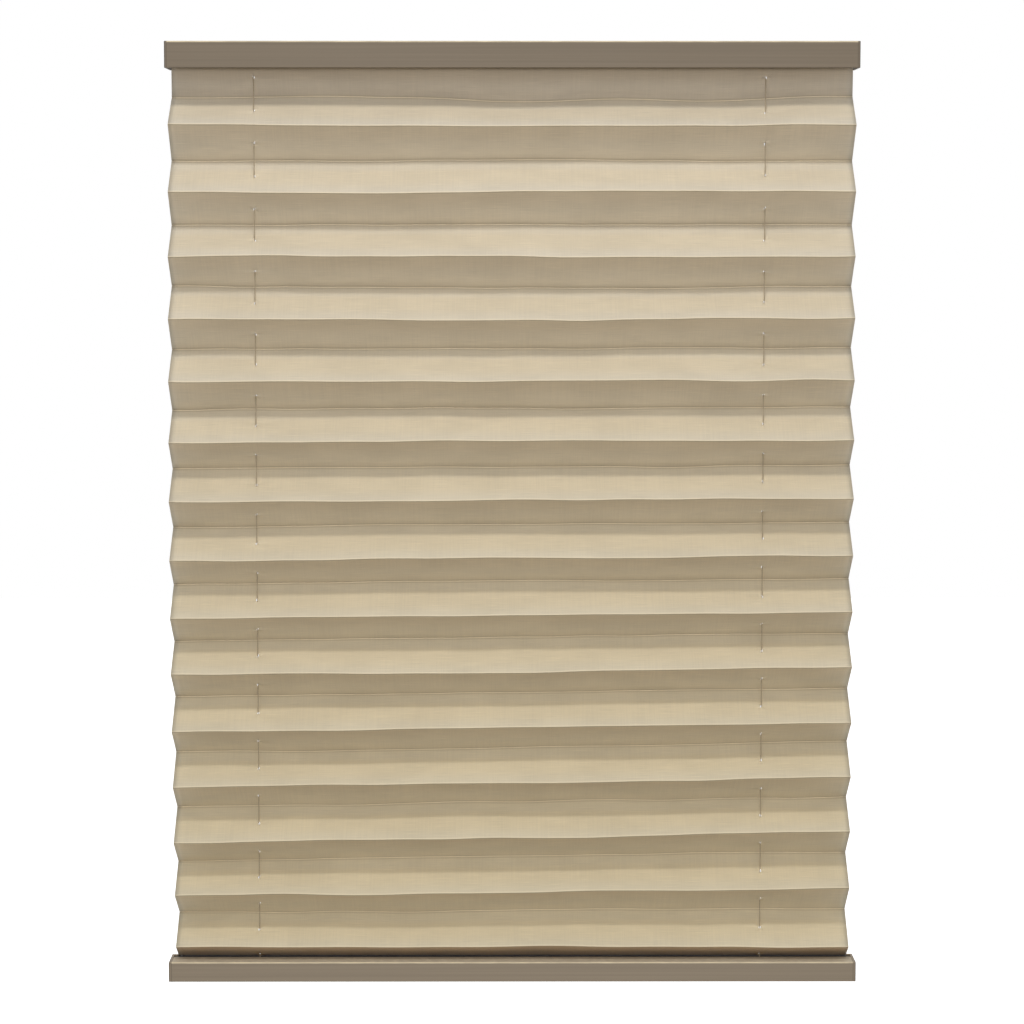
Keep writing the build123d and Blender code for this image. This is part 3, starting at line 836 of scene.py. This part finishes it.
def make_cloth(settings, lines, material):
    """The whole cloth as one sheet, with an oval hole for each cord in each panel.

    The grid's block of cells round a hole is left out, and rings of points between the
    hole's oval and the block's border fill it: point = oval + q (border - oval).
    """
    columns, first_columns = cloth_columns(BLOCK_X, COLUMN_SPACING)
    rows, panel, first_rows = cloth_rows(lines, BLOCK_DOWN)
    x, down = np.meshgrid(columns, rows)
    numbers = np.arange(x.size).reshape(x.shape)

    cells = np.ones((len(rows) - 1, len(columns) - 1), bool)
    inside = np.arange(GRID_BLOCK)
    cut_rows = (first_rows[:, None] + inside).ravel()
    cut_columns = (first_columns[:, None] + inside).ravel()
    cells[np.ix_(cut_rows, cut_columns)] = False
    faces = grid_faces(*x.shape)[cells]

    border_row = first_rows[:, None, None] + BORDER_ROWS
    border_column = first_columns[None, :, None] + BORDER_COLUMNS
    border_row, border_column = np.broadcast_arrays(border_row, border_column)
    border = numbers[border_row, border_column]
    cord_x = np.array(CORD_X)[None, :]
    hole_panel = np.broadcast_to(panel[:, None], (len(panel), len(CORD_X)))
    centre_x = np.broadcast_to(cord_x, hole_panel.shape)
    centre = hole_panel + lines.hole_shares(hole_panel, centre_x)
    spans = lines.place(hole_panel + 1, centre_x) - lines.place(hole_panel, centre_x)
    length = np.linalg.norm(spans, axis=-1)[..., None]
    across = columns[border_column] - centre_x[..., None]
    lengthways = (rows[border_row] - centre[..., None]) * length
    angle = np.arctan2(lengthways / BLOCK_DOWN, across / BLOCK_X)
    oval_x = settings.hole_width / 2 * np.cos(angle) + lines.hole_shift[panel][..., None]
    oval_v = settings.hole_length / 2 * np.sin(angle)
    share = np.array(HOLE_RINGS)[:, None, None, None]
    ring_x = centre_x[..., None] + oval_x + share * (across - oval_x)
    ring_down = centre[..., None] + (oval_v + share * (lengthways - oval_v)) / length
    rings = x.size + np.arange(ring_x.size).reshape(ring_x.shape)
    rings = np.concatenate([rings, border[None]])
    inner, outer = rings[:-1], rings[1:]
    following = np.roll(np.arange(len(BORDER_ROWS)), -1)
    quads = [outer, inner, inner[..., following], outer[..., following]]
    faces = np.concatenate([faces, np.stack(quads, -1).reshape(-1, 4)])

    all_x = np.concatenate([x.ravel(), ring_x.ravel()])
    all_down = np.concatenate([down.ravel(), ring_down.ravel()])
    used, faces = np.unique(faces, return_inverse=True)
    faces = faces.reshape(-1, 4)
    all_x, all_down = all_x[used], all_down[used]
    points = lines.surface(all_x, all_down)
    flat = lines.flat(all_x, all_down)
    cloth = make_piece("cloth", points, faces, flat, material)
    share_layer = cloth.data.attributes.new("front_share", "FLOAT", "POINT")
    share_layer.data.foreach_set("value", lines.front_share(all_down).astype(np.float32))
    body = cloth.modifiers.new("cloth_thickness", "SOLIDIFY")
    body.thickness = settings.thickness
    body.offset = 0
    return cloth, float(flat[:, 1].max())


# ---- the cords


def sweep(name, path, across, upward, size, sides, material):
    """Rings along a path: centre + size (cos t across + sin t upward).  The UV is (turn, length)."""
    turn = np.linspace(0, math.tau, sides + 1)
    rings = np.cos(turn)[None, :, None] * across[:, None] + np.sin(turn)[None, :, None] * upward[:, None]
    points = path[:, None] + size * rings
    steps = np.linalg.norm(np.diff(path, axis=0), axis=-1)
    along = np.concatenate([[0.0], np.cumsum(steps)])
    uv = np.stack(np.broadcast_arrays(turn[None] / math.tau, along[:, None]), -1)
    piece = make_piece(name, points, grid_faces(*points.shape[:2]).reshape(-1, 4), uv, material)
    close_seams(piece)
    return piece, along[-1]


def tube(name, path, radius, material):
    """A round tube along a path.

    Its rings stand on across, which is Z turned onto the path's level heading, and on upward,
    which is square to both.  The ends are closed by rings of no size.
    """
    heading = unit(np.gradient(path, axis=0))
    level = heading * (1, 1, 0)
    upright = np.linalg.norm(level, axis=-1) < 1e-3
    level[upright] = level[~upright][-1]
    across = np.cross((0, 0, 1), unit(level))
    upward = np.cross(heading, across)
    path, across, upward = [np.concatenate([v[:1], v, v[-1:]]) for v in (path, across, upward)]
    size = np.full(len(path), radius)
    size[[0, -1]] = radius * 1e-3
    return sweep(name, path, across, upward, size[:, None, None], 12, material)


def close_seams(piece, distance=1e-6):
    """Joins points that lie on each other, and turns every face outwards."""
    shape = bmesh.new()
    shape.from_mesh(piece.data)
    bmesh.ops.remove_doubles(shape, verts=shape.verts, dist=distance)
    bmesh.ops.recalc_face_normals(shape, faces=shape.faces)
    shape.to_mesh(piece.data)
    shape.free()


def cord_path(settings, cord_x, spool):
    """The cord's middle line: round its spool, level to its guide, over a quarter bend and down."""
    low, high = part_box(spool)
    centre_x, centre_y = (low.x + high.x) / 2, (low.y + high.y) / 2
    away = 1.0 if cord_x > centre_x else -1.0
    turn = np.linspace(settings.wrap, 0, 28)
    wound_x = centre_x - away * centre_y * np.sin(turn)
    wound_y = centre_y - centre_y * np.cos(turn)
    wound = np.stack([wound_x, wound_y, np.full(turn.shape, CORD_LEVEL)], -1)
    bend_start = cord_x - away * settings.bend
    run = np.linspace(wound[-1], (bend_start, 0, CORD_LEVEL), 12)[1:]
    quarter = np.linspace(0, math.pi / 2, 10)[1:]
    bend_x = bend_start + away * settings.bend * np.sin(quarter)
    bend_z = CORD_LEVEL - settings.bend * (1 - np.cos(quarter))
    bend = np.stack([bend_x, np.zeros(quarter.shape), bend_z], -1)
    fall = np.linspace(bend[-1], (cord_x, 0, CORD_FOOT), 40)[1:]
    return np.concatenate([wound, run, bend, fall])


def make_knot(name, settings, cord_x, material):
    """An overhand knot: a tube along the three-leaved knot, drawn to the knot's size.

    x = sin t + 2 sin 2t, y = cos t - 2 cos 2t, z = -1.6 sin 3t
    """
    turn = np.linspace(0, math.tau, 73)
    x = np.sin(turn) + 2 * np.sin(2 * turn)
    y = np.cos(turn) - 2 * np.cos(2 * turn)
    shape = np.stack([x, y, -1.6 * np.sin(3 * turn)], -1)
    strand = settings.diameter / 2
    centre = (cord_x, 0, CORD_FOOT - settings.knot)
    path = shape * ((settings.knot - strand) / 3) + centre
    heading = unit(np.gradient(path, axis=0))
    heading[0] = heading[-1] = unit(path[1] - path[-2])
    across = unit(np.cross(heading, path - centre))
    return sweep(name, path, across, np.cross(heading, across), strand, 10, material)[0]


# ---- operators


CAMERA_PLACE = (-0.009, -3.219, -0.185)
CAMERA_TILT, CAMERA_TURN = 5.22, -0.155
LIGHTS = (
    ("key_light", (0, -1.19, 1.18), (0, 0, -0.42), 0.30, 0.22, "key_power"),
    ("front_light", (0, -2.8, 0.15), (0, 0, -0.40), 1.2, 0.4, "fill_power"),
    ("low_light", (0, -2.0, -2.3), (0, 0, -0.50), 1.2, 0.6, "low_power"),
)


class BLIND_OT_stage(bpy.types.Operator):
    """Floor, surround, lights and camera"""

    bl_idname = "blind.stage"
    bl_label = "Set the stage"

    def execute(self, context):
        settings = context.scene.blind_stage
        scene = context.scene
        scene.view_settings.view_transform = "Standard"
        self.make_floor(settings)
        self.make_world(scene, settings)
        for name, place, target, width, height, power in LIGHTS:
            self.make_light(name, place, target, width, height, getattr(settings, power))
        self.make_camera(scene)
        return {"FINISHED"}

    def make_floor(self, settings):
        """A flat grid of four cells behind the blind, bright enough to melt into the surround."""
        x, y = np.meshgrid(np.linspace(-9, 9, 3), np.linspace(12, 0, 3))
        points = np.stack([x, y, np.full(x.shape, -settings.floor_drop)], -1)
        material, tree, shader = start_material(
            "pale_floor", Roughness=0.8, Emission_Color=(1, 1, 1, 1), Emission_Strength=0.8
        )
        grain = use_group(tree, "fine_grain", Vector=object_vector(tree), Fine=140.0, Broad=1.2)
        tone = blend_colours(tree, grain["Uneven"], (0.90, 0.90, 0.895, 1), (0.93, 0.93, 0.925, 1))
        tree.links.new(tone, shader.inputs["Base Color"])
        floor = make_piece("floor", points, grid_faces(3, 3).reshape(-1, 4), points[..., :2], material)

    def make_world(self, scene, settings):
        """White to the camera.  As light, it differs behind, above in front and below in front."""
        world = bpy.data.worlds.new("white_surround")
        scene.world = world
        world.use_nodes = True
        tree = world.node_tree
        tree.nodes.clear()
        seen = put(tree, "ShaderNodeLightPath").outputs["Is Camera Ray"]
        heading = put(tree, "ShaderNodeTexCoord").outputs["Generated"]
        parts = parts_of(tree, heading)
        above, behind = [step_between(tree, part, -0.02, 0.02) for part in (parts[2], parts[1])]
        rise = settings.surround_front - settings.surround_below
        front = calc(tree, "MULTIPLY_ADD", above, rise, settings.surround_below)
        lack = calc(tree, "MULTIPLY", behind, calc(tree, "SUBTRACT", settings.surround, front))
        strength = calc(tree, "ADD", front, lack)
        light = put(tree, "ShaderNodeBackground", {"Color": (1, 1, 1, 1), "Strength": strength})
        backdrop = put(tree, "ShaderNodeBackground", {"Color": (1, 1, 1, 1), "Strength": 1.0})
        both = put(tree, "ShaderNodeMixShader", {0: seen, 1: light.outputs[0], 2: backdrop.outputs[0]})
        put(tree, "ShaderNodeOutputWorld", {"Surface": both.outputs[0]})

    def make_light(self, name, place, target, width, height, power):
        """A soft rectangular light turned to its target."""
        data = bpy.data.lights.new(name, "AREA")
        data.shape = "RECTANGLE"
        data.size, data.size_y = width, height
        data.energy = power
        light = bpy.data.objects.new(name, data)
        light.location = place
        aim = Vector(target) - Vector(place)
        light.rotation_euler = aim.to_track_quat("-Z", "Y").to_euler()
        bpy.context.scene.collection.objects.link(light)

    def make_camera(self, scene):
        """A long lens a little above the middle of the blind, tilted down."""
        data = bpy.data.cameras.new("camera")
        data.lens = 110.36
        data.sensor_width = 36
        data.dof.use_dof = False
        camera = bpy.data.objects.new("camera", data)
        camera.location = CAMERA_PLACE
        camera.rotation_euler = (math.radians(90 - CAMERA_TILT), 0, math.radians(CAMERA_TURN))
        scene.collection.objects.link(camera)
        scene.camera = camera


class BLIND_OT_cloth(bpy.types.Operator):
    """The pleated cloth between the rails"""

    bl_idname = "blind.cloth"
    bl_label = "Hang the pleated cloth"

    def execute(self, context):
        settings = context.scene.blind_cloth
        lines = FoldLines(settings)
        cloth, length = make_cloth(settings, lines, make_cloth_material(settings, lines))
        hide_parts("pleated_fabric")
        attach(cloth, "headrail")
        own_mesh(cloth)
        return {"FINISHED"}


class BLIND_OT_cords(bpy.types.Operator):
    """The two lift cords and their knots"""

    bl_idname = "blind.cords"
    bl_label = "Thread the lift cords"

    def execute(self, context):
        settings = context.scene.blind_cord
        material = make_cord_material(settings)
        for side, cord_x in zip(("left", "right"), CORD_X):
            path = cord_path(settings, cord_x, f"cord_spool_{side}")
            cord, length = tube(f"cord_{side}", path, settings.diameter / 2, material)
            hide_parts(f"lift_cord_{side}")
            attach(cord, "headrail")
            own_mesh(cord)
            knot = make_knot(f"cord_knot_{side}", settings, cord_x, material)
            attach(knot, "bottom_rail")
            print(f"lift cord {side}: {length:.3f} m")
        return {"FINISHED"}


class BLIND_OT_rails(bpy.types.Operator):
    """Paint on both rails, with painted light on the bottom rail, moulded caps on their ends and near-black
    strips inside as painted shade
    """

    bl_idname = "blind.rails"
    bl_label = "Finish the rails"

    def execute(self, context):
        settings = context.scene.blind_finish
        # The bottom rail's lighter paint is a painted reflection, and its large share of the dusting mask
        # paints light onto its top face.
        rails = {"headrail": (settings.paint, 0.25), "bottom_rail": (settings.bottom_rail_paint_with_painted_light, 0.85)}
        for rail, (paint, dust_and_top_light_share) in rails.items():
            finish_nodes(make_paint_material(f"{rail}_paint", tuple(paint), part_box(rail), dust_and_top_light_share), rail)
            caps = [f"{rail}_end_cap_{side}" for side in ("left", "right")]
            colour = shade(paint, 0.92)[:3]
            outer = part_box(caps[1])[1].x
            name = f"{rail}_cap"
            cap = make_moulded_material(name, colour, 0.5, 1900.0, outer, Specular_IOR_Level=0.3)
            finish_nodes(cap, *caps)
        # The strips are near black: painted shade for the bottom rail's slot.
        strip = make_moulded_material("dark_plastic", tuple(settings.strip), 0.5, 900.0)
        finish_nodes(strip, "top_fabric_strip", "bottom_fabric_strip")
        return {"FINISHED"}


class BLIND_OT_mechanism(bpy.types.Operator):
    """Plastics and steel of the spring motor, the cord guides and the cord stops"""

    bl_idname = "blind.mechanism"
    bl_label = "Finish the lifting mechanism"

    def execute(self, context):
        settings = context.scene.blind_finish
        housing = make_moulded_material("housing_plastic", tuple(settings.housing), 0.46, 1500.0)
        finish_nodes(housing, "motor_base", "motor_cover")
        drum_colour = tuple(settings.drum)
        drum = make_moulded_material("slippery_plastic", drum_colour, 0.30, 2200.0, Specular_IOR_Level=0.55)
        finish_nodes(drum, "cord_spool_left", "output_drum", "storage_drum", "cord_spool_right")
        guide = make_moulded_material("guide_plastic", tuple(settings.guide), 0.36, 1700.0)
        finish_nodes(guide, "cord_guide_left", "cord_guide_right", "cord_stop_left", "cord_stop_right")
        steel = tuple(settings.steel)
        finish_nodes(make_steel_material("drawn_pin_steel", steel, (2600.0, 2600.0, 60.0)), "drum_axles")
        finish_nodes(make_steel_material("rolled_spring_steel", steel, (60.0, 60.0, 2600.0)), "spring_band")
        return {"FINISHED"}


OPERATORS = (BLIND_OT_stage, BLIND_OT_cloth, BLIND_OT_cords, BLIND_OT_rails, BLIND_OT_mechanism)


class BLIND_PT_panel(bpy.types.Panel):
    """Makes the blind piece by piece"""

    bl_label = "Pleated blind"
    bl_idname = "BLIND_PT_panel"
    bl_space_type = "VIEW_3D"
    bl_region_type = "UI"
    bl_category = "Blind"

    def draw(self, context):
        for operator in OPERATORS:
            self.layout.operator(operator.bl_idname)
        for group in SETTINGS:
            values = getattr(context.scene, group)
            for name in values.bl_rna.properties.keys():
                if name not in ("rna_type", "name"):
                    self.layout.prop(values, name)


SETTINGS = {
    "blind_stage": StageSettings,
    "blind_cloth": ClothSettings,
    "blind_cord": CordSettings,
    "blind_finish": FinishSettings,
}


def register():
    for group, settings in SETTINGS.items():
        bpy.utils.register_class(settings)
        setattr(bpy.types.Scene, group, bpy.props.PointerProperty(type=settings))
    for made in (*OPERATORS, BLIND_PT_panel):
        bpy.utils.register_class(made)


def unregister():
    for made in (BLIND_PT_panel, *reversed(OPERATORS)):
        bpy.utils.unregister_class(made)
    for group, settings in reversed(SETTINGS.items()):
        delattr(bpy.types.Scene, group)
        bpy.utils.unregister_class(settings)


def main():
    register()
    bpy.ops.blind.stage()
    bpy.ops.blind.cloth()
    bpy.ops.blind.cords()
    bpy.ops.blind.rails()
    bpy.ops.blind.mechanism()


if __name__ == "__main__":
    main()
